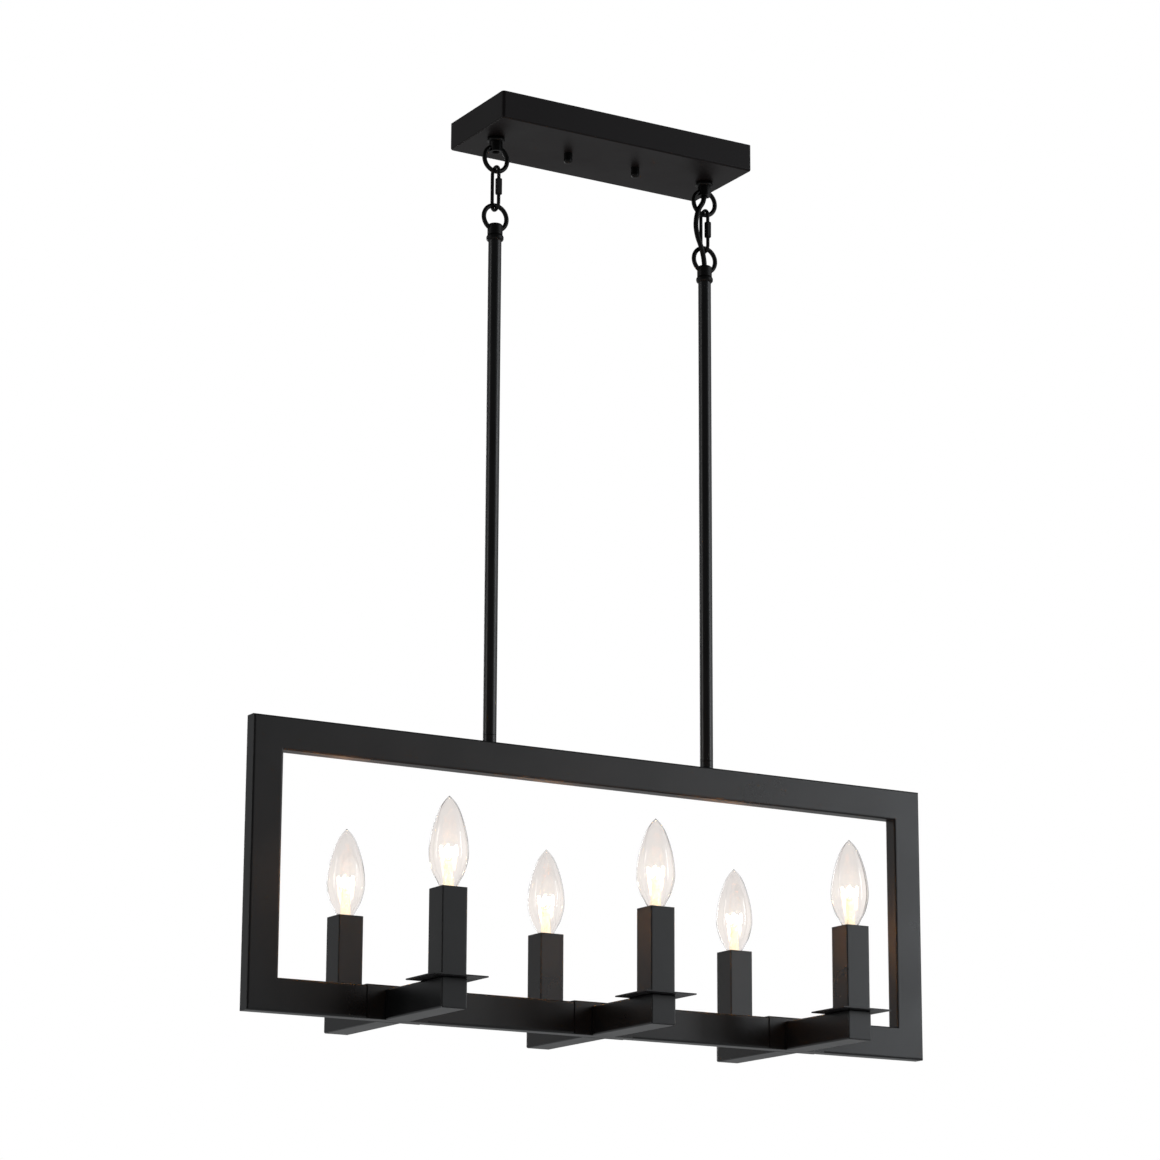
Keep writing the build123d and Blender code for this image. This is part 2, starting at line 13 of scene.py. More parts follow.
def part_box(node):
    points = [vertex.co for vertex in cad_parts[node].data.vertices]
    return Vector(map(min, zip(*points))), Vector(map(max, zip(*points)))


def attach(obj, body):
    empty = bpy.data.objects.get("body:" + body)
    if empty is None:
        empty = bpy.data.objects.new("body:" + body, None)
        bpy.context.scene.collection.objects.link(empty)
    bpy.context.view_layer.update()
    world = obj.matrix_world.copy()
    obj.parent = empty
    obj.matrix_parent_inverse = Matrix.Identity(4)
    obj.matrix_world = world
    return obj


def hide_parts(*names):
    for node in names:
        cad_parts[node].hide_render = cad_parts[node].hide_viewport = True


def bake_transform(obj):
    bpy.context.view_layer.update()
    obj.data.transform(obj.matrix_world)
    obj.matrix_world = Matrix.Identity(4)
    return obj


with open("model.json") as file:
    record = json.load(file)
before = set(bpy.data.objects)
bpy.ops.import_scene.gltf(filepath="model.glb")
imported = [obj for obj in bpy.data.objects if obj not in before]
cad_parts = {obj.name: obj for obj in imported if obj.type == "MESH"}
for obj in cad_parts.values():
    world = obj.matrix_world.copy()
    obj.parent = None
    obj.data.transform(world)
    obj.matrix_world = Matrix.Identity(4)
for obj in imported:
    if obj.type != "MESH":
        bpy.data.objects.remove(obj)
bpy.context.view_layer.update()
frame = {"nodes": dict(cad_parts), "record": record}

MM = 0.001
LOG = logging.getLogger("pendant")

Colour = tuple[float, float, float]
Profile = list[tuple[float, float]]


class Slot(Enum):
    """The record's material slots."""

    CANOPY = "canopy_paint"
    FRAME = "frame_paint"
    SLEEVE = "sleeve_paint"
    HARDWARE = "hardware_paint"
    ZINC = "zinc_plate"
    CORD = "cord_sheath"
    SOCKET = "socket_plastic"
    GLASS = "lamp_glass"
    BASE = "lamp_base"


class Row(Enum):
    """The two rows of candles, and the side of the frame that each stands on."""

    FRONT = "front"
    REAR = "rear"


class Place(Enum):
    """The three cross arms."""

    LEFT = "left"
    MIDDLE = "middle"
    RIGHT = "right"


# ------------------------------------------------------------------ shader nodes


class Board:
    """Adds shader nodes to one material or world and links them."""

    def __init__(self, owner: bpy.types.ID) -> None:
        """Start from an empty node tree.

        Args:
            owner: The material or world whose nodes are made.
        """
        owner.use_nodes = True
        self.tree = owner.node_tree
        self.tree.nodes.clear()

    def add(self, kind: str, **settings: object) -> bpy.types.Node:
        """Add a node.

        Args:
            kind: The node's type, without its ShaderNode prefix.
            **settings: The node's own settings.

        Returns:
            The new node.
        """
        node = self.tree.nodes.new("ShaderNode" + kind)
        for name, value in settings.items():
            setattr(node, name, value)
        return node

    def feed(self, node: bpy.types.Node, **values: object) -> None:
        """Set or link a node's inputs, whose names have _ for a space.

        Args:
            node: The node whose inputs are fed.
            **values: A number, a colour or another node's output for each input.
        """
        for name, value in values.items():
            socket = node.inputs[name.replace("_", " ")]
            if isinstance(value, bpy.types.NodeSocket):
                self.tree.links.new(value, socket)
            else:
                socket.default_value = value

    def noise(self, scale: float, detail: float = 3.0) -> bpy.types.NodeSocket:
        """Return a noise of that scale over the object's own coordinates."""
        place = self.add("TexCoord")
        node = self.add("TexNoise")
        self.feed(node, Vector=place.outputs["Object"], Scale=scale, Detail=detail)
        return node.outputs[0]

    def spread(self, value: bpy.types.NodeSocket, low: float, high: float) -> bpy.types.NodeSocket:
        """Return a noise's middle range stretched from low to high."""
        node = self.add("MapRange")
        self.feed(node, Value=value, From_Min=0.3, From_Max=0.7, To_Min=low, To_Max=high)
        return node.outputs[0]

    def ramp(
        self, value: bpy.types.NodeSocket, dark: Colour, light: Colour
    ) -> bpy.types.NodeSocket:
        """Return a colour between dark and light that follows a noise."""
        node = self.add("ValToRGB")
        node.color_ramp.elements[0].position = 0.3
        node.color_ramp.elements[0].color = (*dark, 1.0)
        node.color_ramp.elements[1].position = 0.7
        node.color_ramp.elements[1].color = (*light, 1.0)
        self.feed(node, Fac=value)
        return node.outputs[0]

    def bump(
        self, height: bpy.types.NodeSocket, depth: float, edge: bpy.types.NodeSocket | None = None
    ) -> bpy.types.NodeSocket:
        """Return a normal for a surface's relief.

        Args:
            height: The height, from 0 to 1.
            depth: The metres that the height spans.
            edge: The radius that edges look rounded to, if they are.

        Returns:
            The normal.
        """
        node = self.add("Bump")
        self.feed(node, Height=height, Distance=depth, Strength=1.0)
        if edge is not None:
            rounded = self.add("Bevel", samples=6)
            self.feed(rounded, Radius=edge)
            self.feed(node, Normal=rounded.outputs[0])
        return node.outputs[0]

    def calculate(
        self,
        operation: str,
        first: bpy.types.NodeSocket,
        second: bpy.types.NodeSocket | float = 0.0,
    ) -> bpy.types.NodeSocket:
        """Return the result of a Math node.

        Args:
            operation: What is worked out.
            first: The first value.
            second: The second value or number, if the operation takes one.

        Returns:
            The result.
        """
        node = self.add("Math", operation=operation)
        self.tree.links.new(first, node.inputs[0])
        if isinstance(second, bpy.types.NodeSocket):
            self.tree.links.new(second, node.inputs[1])
        else:
            node.inputs[1].default_value = second
        return node.outputs[0]

    def finish(self, shader: bpy.types.Node) -> None:
        """Link a shader to the material's output."""
        output = self.add("OutputMaterial")
        self.tree.links.new(shader.outputs[0], output.inputs["Surface"])


def scaled(colour: Colour, by: float) -> Colour:
    """Return a colour made lighter or darker by a factor."""
    return (colour[0] * by, colour[1] * by, colour[2] * by)


# ---------------------------------------------------------------------- finishes


@dataclass(frozen=True)
class PaintFinish:
    """Baked black paint over steel, with a fine orange peel and faint clouding."""

    name: str
    colour: Colour
    roughness: float
    gloss: float
    peel_scale: float = 1400.0
    peel_depth: float = 0.00002
    clouding: float = 0.22

    def edge(self, board: Board) -> bpy.types.NodeSocket | None:
        """Return the radius that edges look rounded to: this paint leaves them as they are."""
        return None

    def material(self) -> bpy.types.Material:
        """Return the paint as a material."""
        made = bpy.data.materials.new(self.name)
        board = Board(made)
        shader = board.add("BsdfPrincipled")
        cloud = board.noise(14.0, 5.0)
        grain = board.noise(self.peel_scale, 2.0)
        board.feed(
            shader,
            Base_Color=board.ramp(
                cloud,
                scaled(self.colour, 1.0 - self.clouding),
                scaled(self.colour, 1.0 + self.clouding),
            ),
            Roughness=board.spread(cloud, self.roughness - 0.05, self.roughness + 0.05),
            Specular_IOR_Level=self.gloss,
            Normal=board.bump(grain, self.peel_depth, self.edge(board)),
        )
        board.finish(shader)
        return made


@dataclass(frozen=True)
class TubePaint(PaintFinish):
    """Paint on square tube, whose rolled corners look round but whose mitres are flush."""

    corner: float = 1.8 * MM
    mitre_clear: float = 2.6 * MM

    def edge(self, board: Board) -> bpy.types.NodeSocket | None:
        """Return the corner radius, brought to nothing along the frame's mitres."""
        low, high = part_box("frame_stile_left")
        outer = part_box("frame_stile_right")[1].x
        middle, half = (low.z + high.z) / 2, (high.z - low.z) / 2
        place = board.add("SeparateXYZ")
        board.feed(place, Vector=board.add("TexCoord").outputs["Object"])
        across = board.calculate("ABSOLUTE", place.outputs["X"])
        up = board.calculate("ABSOLUTE", board.calculate("SUBTRACT", place.outputs["Z"], middle))
        apart = board.calculate("SUBTRACT", across, up)
        off = board.calculate("ABSOLUTE", board.calculate("SUBTRACT", apart, outer - half))
        clear = board.calculate("GREATER_THAN", off, self.mitre_clear)
        return board.calculate("MULTIPLY", clear, self.corner)


@dataclass(frozen=True)
class ZincFinish:
    """Zinc plated steel: a grey metal, cloudy and lightly scratched."""

    name: str
    colour: Colour = (0.50, 0.50, 0.47)
    roughness: float = 0.38

    def material(self) -> bpy.types.Material:
        """Return the plating as a material."""
        made = bpy.data.materials.new(self.name)
        board = Board(made)
        shader = board.add("BsdfPrincipled")
        cloud = board.noise(90.0, 4.0)
        board.feed(
            shader,
            Base_Color=board.ramp(cloud, scaled(self.colour, 0.8), scaled(self.colour, 1.1)),
            Roughness=board.spread(cloud, self.roughness - 0.1, self.roughness + 0.12),
            Metallic=1.0,
            Normal=board.bump(board.noise(2600.0, 2.0), 0.00001),
        )
        board.finish(shader)
        return made


@dataclass(frozen=True)
class PlasticFinish:
    """A moulded or extruded plastic with a fine matt skin."""

    name: str
    colour: Colour
    roughness: float
    gloss: float = 0.35
    grain_scale: float = 3000.0

    def material(self) -> bpy.types.Material:
        """Return the plastic as a material."""
        made = bpy.data.materials.new(self.name)
        board = Board(made)
        shader = board.add("BsdfPrincipled")
        cloud = board.noise(60.0, 3.0)
        board.feed(
            shader,
            Base_Color=board.ramp(cloud, scaled(self.colour, 0.8), scaled(self.colour, 1.25)),
            Roughness=board.spread(cloud, self.roughness - 0.06, self.roughness + 0.06),
            Specular_IOR_Level=self.gloss,
            Normal=board.bump(board.noise(self.grain_scale, 2.0), 0.000012),
        )
        board.finish(shader)
        return made


@dataclass(frozen=True)
class GlassFinish:
    """Clear lamp glass, faintly tinted, with painted shade darker to its tip and a painted warm
    glow round the filament.
    """

    name: str
    tint: Colour
    glow: Colour
    painted_glow_strength: float
    painted_glow_reach: float
    tip_painted_shade: float = 0.95
    painted_shade_rise: float = 0.03

    def material(self, centre: Vector) -> bpy.types.Material:
        """Return the glass of one bulb.

        Args:
            centre: The middle of the filament, where the glass's painted glow is brightest.

        Returns:
            The material.
        """
        made = bpy.data.materials.new(self.name)
        board = Board(made)
        shader = board.add("BsdfPrincipled")
        place = board.add("TexCoord")
        away = board.add("VectorMath", operation="DISTANCE")
        board.feed(away, Vector=place.outputs["Object"])
        away.inputs[1].default_value = centre
        # Painted glow: the glass's own warm emission, brightest round the filament and fading out
        # by its reach; the glass is no lamp.
        painted_glow_level = board.add("MapRange", interpolation_type="SMOOTHERSTEP")
        board.feed(
            painted_glow_level,
            Value=away.outputs["Value"],
            From_Min=0.4 * self.painted_glow_reach,
            From_Max=self.painted_glow_reach,
            To_Min=self.painted_glow_strength,
            To_Max=0.0,
        )
        upward = board.add("SeparateXYZ")
        board.feed(upward, Vector=place.outputs["Object"])
        # Painted shade: the glass's tint is made darker from the filament up towards its tip.
        shade = board.add("MapRange", interpolation_type="SMOOTHSTEP")
        board.feed(
            shade,
            Value=upward.outputs["Z"],
            From_Min=centre.z,
            From_Max=centre.z + self.painted_shade_rise,
            To_Min=1.0,
            To_Max=self.tip_painted_shade,
        )
        tint_with_painted_shade = board.add("VectorMath", operation="SCALE")
        tint_with_painted_shade.inputs[0].default_value = self.tint
        board.feed(tint_with_painted_shade, Scale=shade.outputs[0])
        board.feed(
            shader,
            Base_Color=tint_with_painted_shade.outputs[0],
            Roughness=0.0,
            IOR=1.45,
            Transmission_Weight=1.0,
            Emission_Color=(*self.glow, 1.0),
            Emission_Strength=painted_glow_level.outputs[0],
            Normal=board.bump(board.noise(45.0, 1.0), 0.0003),
        )
        board.finish(shader)
        return made


@dataclass(frozen=True)
class LitFinish:
    """Something that glows with the lamp's own light: the filament, which is the lamp's hot wire,
    or its stem, whose glow is painted light.
    """

    name: str
    colour: Colour
    glow: Colour
    strength: float
    clear: float

    def material(self) -> bpy.types.Material:
        """Return the lit material."""
        made = bpy.data.materials.new(self.name)
        board = Board(made)
        shader = board.add("BsdfPrincipled")
        board.feed(
            shader,
            Base_Color=(*self.colour, 1.0),
            Roughness=board.spread(board.noise(200.0), 0.15, 0.3),
            Transmission_Weight=self.clear,
            Emission_Color=(*self.glow, 1.0),
            Emission_Strength=self.strength,
        )
        board.finish(shader)
        return made


SATIN_BLACK = (0.0042, 0.0042, 0.0045)
FRAME_PAINT = TubePaint("frame_paint", SATIN_BLACK, 0.31, 0.36)
PLATE_PAINT = PaintFinish("plate_paint", SATIN_BLACK, 0.31, 0.36)
SLEEVE_PAINT = TubePaint("sleeve_paint", (0.0045, 0.0044, 0.0045), 0.31, 0.40)
CANOPY_PAINT = PaintFinish("canopy_paint", (0.0070, 0.0055, 0.0058), 0.42, 0.13)
HARDWARE_PAINT = PaintFinish("hardware_paint", (0.0022, 0.0021, 0.0021), 0.40, 0.16)
ZINC_PLATE = ZincFinish("zinc_plate")
CORD_SHEATH = PlasticFinish("cord_sheath", (0.0020, 0.0020, 0.0020), 0.5, 0.14)
SOCKET_PLASTIC = PlasticFinish("socket_plastic", (0.03, 0.03, 0.03), 0.45)
LAMP_GLASS = GlassFinish("lamp_glass", (0.945, 0.916, 0.898), (1.0, 0.75, 0.30), 0.010, 0.032)
LAMP_BASE = ZincFinish("lamp_base", (0.62, 0.52, 0.32), 0.3)
FILAMENT = LitFinish("lamp_filament", (0.9, 0.8, 0.6), (1.0, 0.86, 0.62), 12.0, 0.0)
# The stem's emission is a painted glow: the glass stem is no lamp, and its brightness from the
# filament is painted.
STEM_GLASS_PAINTED_GLOW = LitFinish("lamp_stem_painted_glow", (0.98, 0.96, 0.88), (1.0, 0.88, 0.52), 0.20, 0.8)
LEAD_WIRE = ZincFinish("lamp_wire", (0.7, 0.62, 0.5), 0.3)


# ------------------------------------------------------------------------ meshes


def mesh_object(name: str, points: list[Vector], faces: list[tuple[int, ...]]) -> bpy.types.Object:
    """Make a smooth mesh object in the scene.

    Args:
        name: The object's name.
        points: Its vertices, in metres.
        faces: Its faces, as indices of the vertices.

    Returns:
        The object.
    """
    mesh = bpy.data.meshes.new(name)
    mesh.from_pydata([tuple(p) for p in points], [], faces)
    mesh.validate()
    mesh.shade_smooth()
    made = bpy.data.objects.new(name, mesh)
    bpy.context.scene.collection.objects.link(made)
    return made


def tube_faces(
    rings: int, sides: int, first: int = 0, capped: bool = True
) -> list[tuple[int, ...]]:
    """Return the faces of a tube of rings, with its two ends closed if capped."""
    faces: list[tuple[int, ...]] = []
    for i in range(rings - 1):
        for j in range(sides):
            k = (j + 1) % sides
            a, b = first + i * sides, first + (i + 1) * sides
            faces.append((a + j, a + k, b + k, b + j))
    if capped:
        last = first + (rings - 1) * sides
        faces.append(tuple(first + j for j in reversed(range(sides))))
        faces.append(tuple(last + j for j in range(sides)))
    return faces


def sweep_points(line: list[Vector], radius: float, sides: int) -> list[Vector]:
    """Return rings of points round a line, turned as little as they can be.

    Args:
        line: The points that the tube follows.
        radius: The tube's radius.
        sides: The points in each ring.

    Returns:
        The rings' points, one ring after another.
    """
    points: list[Vector] = []
    ahead = (line[1] - line[0]).normalized()
    side = ahead.orthogonal().normalized()
    for i, centre in enumerate(line):
        before, after = line[max(i - 1, 0)], line[min(i + 1, len(line) - 1)]
        direction = (after - before).normalized()
        side = (side - direction * side.dot(direction)).normalized()
        other = direction.cross(side)
        for j in range(sides):
            turn = 2 * math.pi * j / sides
            points.append(centre + radius * (side * math.cos(turn) + other * math.sin(turn)))
    return points


def swept(name: str, line: list[Vector], radius: float, sides: int = 12) -> bpy.types.Object:
    """Return a tube object of that radius along a line."""
    points = sweep_points(line, radius, sides)
    return mesh_object(name, points, tube_faces(len(line), sides))


def level_ring(radius: float, height: float, sides: int) -> list[Vector]:
    """Return the points of a level ring round the Z axis."""
    turns = [2 * math.pi * j / sides for j in range(sides)]
    return [Vector((radius * math.cos(t), radius * math.sin(t), height)) for t in turns]


def lathe(name: str, profile: Profile, sides: int = 64) -> bpy.types.Object:
    """Turn a closed profile round +Z.

    Args:
        name: The object's name.
        profile: Points (radius, height) in metres, from the axis round to the axis, or a
            closed loop off the axis.
        sides: The points in each ring.

    Returns:
        The object, whose axis is the Z axis.
    """
    points: list[Vector] = []
    rings: list[list[int]] = []
    for radius, height in profile:
        if radius < 1e-7:
            rings.append([len(points)])
            points.append(Vector((0.0, 0.0, height)))
            continue
        rings.append(list(range(len(points), len(points) + sides)))
        points += level_ring(radius, height, sides)
    if len(rings[0]) > 1:
        rings.append(rings[0])
    faces: list[tuple[int, ...]] = []
    for low, high in zip(rings, rings[1:]):
        for j in range(sides):
            k = (j + 1) % sides
            below = [low[j % len(low)], low[k % len(low)]]
            above = [high[k % len(high)], high[j % len(high)]]
            unique = tuple(dict.fromkeys(below + above))
            if len(unique) > 2:
                faces.append(unique)
    return mesh_object(name, points, faces)


def arc_profile(points: Profile, steps: int) -> Profile:
    """Return a smooth curve through points, with that many steps to each span.

    Args:
        points: The points (radius, height) that the curve goes through.
        steps: The steps in each span.

    Returns:
        The points of a Catmull-Rom curve.
    """
    ends = [points[0], *points, points[-1]]
    made: Profile = []
    for a, b, c, d in zip(ends, ends[1:], ends[2:], ends[3:]):
        for i in range(steps):
            t = i / steps
            weights = (
                (-t + 2 * t**2 - t**3) / 2,
                (2 - 5 * t**2 + 3 * t**3) / 2,
                (t + 4 * t**2 - 3 * t**3) / 2,
                (-(t**2) + t**3) / 2,
            )
            made.append(tuple(sum(w * p[k] for w, p in zip(weights, (a, b, c, d))) for k in (0, 1)))
    made.append(points[-1])
    return made


def dress(piece: bpy.types.Object, material: bpy.types.Material) -> None:
    """Give a piece one material all over."""
    piece.data.materials.clear()
    piece.data.materials.append(material)


def smooth(piece: bpy.types.Object, degrees: float = 32.0) -> None:
    """Shade a piece smooth, apart from edges sharper than an angle."""
    piece.data.shade_smooth()
    piece.data.set_sharp_from_angle(angle=math.radians(degrees))


def place(piece: bpy.types.Object, body: str, slot: Slot, material: bpy.types.Material) -> None:
    """Dress a new piece and let it ride on a body."""
    dress(piece, material)
    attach(piece, body)
    LOG.info("%s rides on %s", piece.name, body)


# ------------------------------------------------------------------ supply cord


@dataclass
class SupplyCord:
    """The cord, from inside the canopy through its right loop to the right rod loop."""

    diameter: float = 5.0 * MM
    sides: int = 20
    across: float = 118.0 * MM
    canopy_depth: float = 27.0 * MM
    points: list[Vector] = field(
        default_factory=lambda: [
            Vector((0.0, 0.0, 7.8)) * MM,
            Vector((0.0, 0.0, 14.8)) * MM,
            Vector((-2.5, -1.5, 21.8)) * MM,
            Vector((-9.3, -5.7, 29.2)) * MM,
            Vector((-13.4, -6.9, 38.8)) * MM,
            Vector((-14.5, -6.9, 49.8)) * MM,
            Vector((-12.2, -6.6, 60.4)) * MM,
            Vector((-7.8, -6.1, 69.2)) * MM,
            Vector((-2.9, -2.4, 76.6)) * MM,
            Vector((0.0, 0.0, 84.8)) * MM,
            Vector((0.0, 0.0, 92.2)) * MM,
        ]
    )
    ceiling_points: list[Vector] = field(
        default_factory=lambda: [
            Vector((0.0, 0.0, 7.8)) * MM,
            Vector((0.0, 0.0, -11.5)) * MM,
            Vector((-12.0, 1.0, -23.3)) * MM,
            Vector((-28.0, 4.5, -22.2)) * MM,
            Vector((-41.0, 14.0, -17.0)) * MM,
        ]
    )

    def line(self, points: list[Vector]) -> list[Vector]:
        """Return the points of the cord's smooth line along one of its stretches.

        Args:
            points: The stretch's route, across, forward and down from the canopy loop.

        Returns:
            The points of the smooth line.
        """
        curve = bpy.data.curves.new("cord_route", "CURVE")
        curve.dimensions = "3D"
        curve.resolution_u = 10
        spline = curve.splines.new("NURBS")
        spline.points.add(len(points) - 1)
        for knot, p in zip(spline.points, points):
            knot.co = (self.across + p.x, p.y, -self.canopy_depth - p.z, 1.0)
        spline.order_u = 3
        spline.use_endpoint_u = True
        route = bpy.data.objects.new("cord_route", curve)
        mesh = bpy.data.meshes.new_from_object(route)
        made = [v.co.copy() for v in mesh.vertices]
        bpy.data.meshes.remove(mesh)
        bpy.data.objects.remove(route)
        bpy.data.curves.remove(curve)
        return made

    def stretch(
        self, name: str, node: str, line: list[Vector], sheath: bpy.types.Material
    ) -> bpy.types.Object:
        """Return one declared stretch of the cord.

        Args:
            name: The piece's name.
            node: The solid that it stands for.
            line: The points of its smooth line.
            sheath: The cord's finish.

        Returns:
            The piece.
        """
        tube = swept(name, line, self.diameter / 2, self.sides)
        dress(tube, sheath)
        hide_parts(node)
        return tube

    def build(self, sheath: bpy.types.Material) -> None:
        """Make the cord's end in the canopy, riding on it, and the cord's upper and lower halves.

        Args:
            sheath: The cord's finish.
        """
        hidden = self.line(self.ceiling_points)
        inside = self.stretch("supply_cord_inside", "supply_cord_ceiling", hidden, sheath)
        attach(inside, "canopy")
        line = self.line(self.points)
        half = min(range(len(line)), key=lambda i: abs(line[i].z - (line[0].z + line[-1].z) / 2))
        neck = Vector((self.across, 0.0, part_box("canopy_loop_right")[0].z))
        hub = Vector((self.across, 0.0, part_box("rod_loop_right")[1].z))
        middle = Vector((self.across, 0.0, line[half].z))
        parts = (
            ("supply_cord_upper", line[: half + 1], "canopy", "link_right", neck, middle),
            ("supply_cord_lower", line[half:], "link_right", "pendant", middle, hub),
        )
        for name, run, above, below, start, end in parts:
            tube = self.stretch(name, "supply_cord_loop", run, sheath)
            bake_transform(tube)


# ------------------------------------------------------------------------- bulbs


@dataclass
class Bulb:
    """One torpedo bulb: glass, screw base, stem, lead wires and filament."""

    row: Row
    place: Place
    wall: float = 0.9 * MM
    sides: int = 64
    filament_height: float = 33.0 * MM
    filament_radius: float = 7.0 * MM
    filament_rise: float = 3.6 * MM
    filament_strokes: int = 6
    filament_turns: int = 96
    coil_radius: float = 0.9 * MM
    wire_radius: float = 0.22 * MM
    lead_radius: float = 0.2 * MM
    stem_height: float = 25.0 * MM
    thread_pitch: float = 2.5 * MM
    thread_depth: float = 0.35 * MM
    thread_rows: int = 60
    contact_radius: float = 2.4 * MM
    contact_depth: float = 1.6 * MM
    light_watts: float = 0.36
    light_colour: Colour = (1.0, 0.38, 0.08)
    light_radius: float = 6.0 * MM
    glass_shares: tuple[tuple[float, float], ...] = (
        (0.40, 0.0),
        (0.58, 0.077),
        (0.83, 0.185),
        (1.0, 0.37),
        (0.87, 0.612),
        (0.56, 0.827),
        (0.28, 0.935),
    )

    def __post_init__(self) -> None:
        """Take the bulb's place and size from its solids."""
        name = f"{self.row.value}_{self.place.value}"
        self.body = f"bulb_{name}"
        self.glass_node = f"bulb_glass_{name}"
        self.base_node = f"bulb_base_{name}"
        low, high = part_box(self.glass_node)
        self.axis = Vector(((low.x + high.x) / 2, (low.y + high.y) / 2, 0.0))
        self.foot = low.z
        self.tip = high.z
        self.radius = (high.x - low.x) / 2
        self.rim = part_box(f"candle_sleeve_{name}")[1].z
        self.base_low, self.base_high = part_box(self.base_node)

    def outline(self, inset: float) -> Profile:
        """Return the glass's outline from its foot to its tip, moved in by inset."""
        height = self.tip - self.rim
        foot_radius = (self.base_high.x - self.base_low.x) / 2
        points = [(foot_radius - inset, self.foot)]
        points += [(self.radius * r - inset, self.rim + height * h) for r, h in self.glass_shares]
        points.append((0.0, self.tip - inset))
        return arc_profile(points, 8)

    def centred(self, piece: bpy.types.Object) -> bpy.types.Object:
        """Move a piece that was made on the Z axis to the bulb's axis."""
        piece.data.transform(Matrix.Translation(self.axis))
        return piece

    def glass(self) -> bpy.types.Object:
        """Return the glass envelope, a shell with an outer and an inner face."""
        outer = self.outline(0.0)
        inner = self.outline(self.wall)
        return self.centred(lathe(self.body + "_glass", outer + inner[::-1], self.sides))

    def base(self) -> bpy.types.Object:
        """Return the screw base, with its rolled thread and its tip contact."""
        radius = (self.base_high.x - self.base_low.x) / 2
        tip = self.contact_radius
        rows, points = self.thread_rows, []
        low = self.base_low.z + self.contact_depth
        for i in range(rows + 1):
            z = low + (self.base_high.z - low) * i / rows
            ease = min(1.0, 6 * i / rows, 6 * (rows - i) / rows)
            for j in range(self.sides):
                turn = 2 * math.pi * j / self.sides
                wave = 0.5 - 0.5 * math.cos(2 * math.pi * z / self.thread_pitch - turn)
                r = radius - self.thread_depth * ease * wave
                points.append(Vector((r * math.cos(turn), r * math.sin(turn), z)))
        faces = tube_faces(rows + 1, self.sides, capped=False)
        faces.append(tuple(range(rows * self.sides, (rows + 1) * self.sides)))
        first = len(points)
        for r, z in ((tip * 1.6, low - 0.5 * MM), (tip, low - 1.0 * MM), (tip, self.base_low.z)):
            points += level_ring(r, z, self.sides)
        for j in range(self.sides):
            k = (j + 1) % self.sides
            faces.append((j, first + j, first + k, k))
            for ring in range(2):
                a, b = first + ring * self.sides, first + (ring + 1) * self.sides
                faces.append((a + j, b + j, b + k, a + k))
        faces.append(tuple(first + 2 * self.sides + j for j in reversed(range(self.sides))))
        made = self.centred(mesh_object(self.body + "_base", points, faces))
        smooth(made, 50.0)
        return made

    def stem(self) -> bpy.types.Object:
        """Return the glass stem, pinched flat at its top where it grips the wires."""
        top = self.rim + self.stem_height
        profile = [
            (0.0, self.foot),
            (5.4 * MM, self.foot),
            (5.0 * MM, self.foot + 4.0 * MM),
            (4.6 * MM, self.rim + 6.0 * MM),
            (3.8 * MM, top - 8.0 * MM),
            (3.2 * MM, top - 2.5 * MM),
            (2.6 * MM, top),
            (0.0, top + 0.6 * MM),
        ]
        made = lathe(self.body + "_stem", arc_profile(profile, 4), 24)
        for v in made.data.vertices:
            pinch = max(0.0, min(1.0, (v.co.z - (top - 9.0 * MM)) / (5.0 * MM)))
            v.co.y *= 1.0 - 0.55 * pinch
            v.co.x *= 1.0 + 0.25 * pinch
        return self.centred(made)

    def on_ring(self, share: float) -> Vector:
        """Return the filament's place at a share of its way round the stem."""
        turn = math.radians(-60.0 + 300.0 * share)
        height = self.rim + self.filament_height
        height += self.filament_rise * math.cos(math.pi * self.filament_strokes * share)
        flat = Vector((math.cos(turn), math.sin(turn), 0.0)) * self.filament_radius
        return self.axis + flat + Vector((0.0, 0.0, height))

    def wires(self) -> list[bpy.types.Object]:
        """Return the two lead wires and the hooks that hold the filament's upper bends."""
        top = self.axis + Vector((0.0, 0.0, self.rim + self.stem_height - 2.0 * MM))
        ends = [("wire_left", 0.0), ("wire_right", 1.0)]
        hooks = range(1, self.filament_strokes // 2)
        ends += [(f"hook_{i}", 2 * i / self.filament_strokes) for i in hooks]
        made = []
        for name, share in ends:
            end = self.on_ring(share)
            knee = Vector((0.6 * (end.x - top.x), 0.6 * (end.y - top.y), 0.3 * (end.z - top.z)))
            line = [top + 0.2 * knee, top + knee, end]
            made.append(swept(f"{self.body}_{name}", line, self.lead_radius, 8))
        return made

    def filament(self) -> bpy.types.Object:
        """Return the coiled filament, which runs up and down round the stem."""
        steps = self.filament_turns * 8
        middle = [self.on_ring(i / steps) for i in range(steps + 1)]
        line = []
        for i, centre in enumerate(middle):
            ahead = (middle[min(i + 1, steps)] - middle[max(i - 1, 0)]).normalized()
            out = Vector((centre.x - self.axis.x, centre.y - self.axis.y, 0.0)).normalized()
            turn = 2 * math.pi * self.filament_turns * i / steps
            round_it = out * math.cos(turn) + ahead.cross(out) * math.sin(turn)
            line.append(centre + round_it * self.coil_radius)
        return swept(self.body + "_filament", line, self.wire_radius, 5)

